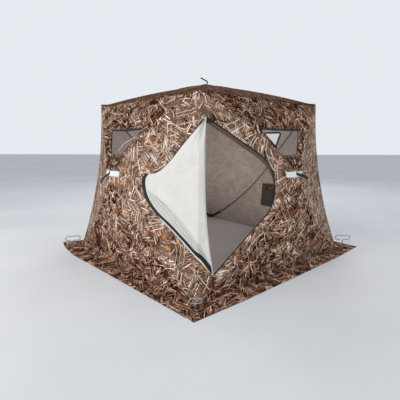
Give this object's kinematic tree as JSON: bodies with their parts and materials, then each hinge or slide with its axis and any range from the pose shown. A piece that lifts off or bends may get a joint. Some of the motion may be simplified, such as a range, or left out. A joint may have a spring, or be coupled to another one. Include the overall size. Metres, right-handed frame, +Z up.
{
  "type": "ice fishing hut",
  "caption": "Pop-up hub ice fishing hut: square cloth shelter on bowed rods, with a zipped diamond door folded open, clear windows, a ground skirt and ice anchors at its corners.",
  "frame": {"origin": "middle of the square base, on the ground", "axes": "+Z up; the door corner points to -Y; the base's corners lie on the X and Y axes"},
  "size_m": [3.9598, 3.9598, 2.15],
  "materials": {
    "camo_cloth": "woven polyester with a printed pattern of reeds and leaves, grey-taupe lining inside",
    "skirt_cloth": "coated woven polyester lying on the ground",
    "hub_patch": "doubled cloth over the hub",
    "rod_fibreglass": "solid glass-fibre rod, black",
    "hub_plastic": "moulded black hub with four sockets",
    "boot_webbing": "black webbing and cloth boot",
    "window_film": "clear flexible film",
    "window_binding": "dark binding",
    "cover_cloth": "printed cloth cover, let down below the window",
    "velcro": "hook and loop tab",
    "flap_lining": "off-white coated lining",
    "zip_black": "coil zip on black tape",
    "guard_cloth": "dark olive-brown wind strip",
    "pull_webbing": "black webbing",
    "bare_patch": "bare white cloth patch",
    "grommet_metal": "pressed eyelet",
    "anchor_steel": "steel wire handle and shaft",
    "pocket_mesh": "dark mesh with a printed top hem"
  },
  "bodies": {
    "root": {"corner_panel_back": "camo_cloth", "corner_panel_front": "camo_cloth", "corner_panel_left": "camo_cloth", "corner_panel_right": "camo_cloth", "door_flap": "flap_lining", "door_zip": "zip_black", "flap_zip": "zip_black", "grommets": "grommet_metal", "hub_patches": "hub_patch", "ice_anchors": "anchor_steel", "inner_pocket": "pocket_mesh", "label_patches": "bare_patch", "lower_panel_back_left": "camo_cloth", "lower_panel_back_right": "camo_cloth", "lower_panel_front_left": "camo_cloth", "lower_panel_front_right": "camo_cloth", "lower_rod_boots": "boot_webbing", "pull_straps": "pull_webbing", "rod_sleeves": "boot_webbing", "rods_back_left": "rod_fibreglass", "rods_back_right": "rod_fibreglass", "rods_front_left": "rod_fibreglass", "rods_front_right": "rod_fibreglass", "roof_hub": "hub_plastic", "roof_panel_back_left": "camo_cloth", "roof_panel_back_right": "camo_cloth", "roof_panel_front_left": "camo_cloth", "roof_panel_front_right": "camo_cloth", "roof_rods": "rod_fibreglass", "skirt_back_left": "skirt_cloth", "skirt_back_right": "skirt_cloth", "skirt_front_left": "skirt_cloth", "skirt_front_right": "skirt_cloth", "upper_panel_back_left": "camo_cloth", "upper_panel_back_right": "camo_cloth", "upper_panel_front_left": "camo_cloth", "upper_panel_front_right": "camo_cloth", "upper_rod_boots": "boot_webbing", "velcro_tabs": "velcro", "wall_hubs": "hub_plastic", "window_covers": "cover_cloth", "window_frames": "window_binding", "window_panes": "window_film", "zip_guard": "guard_cloth", "zip_pull": "pull_webbing"}
  },
  "joints": []
}
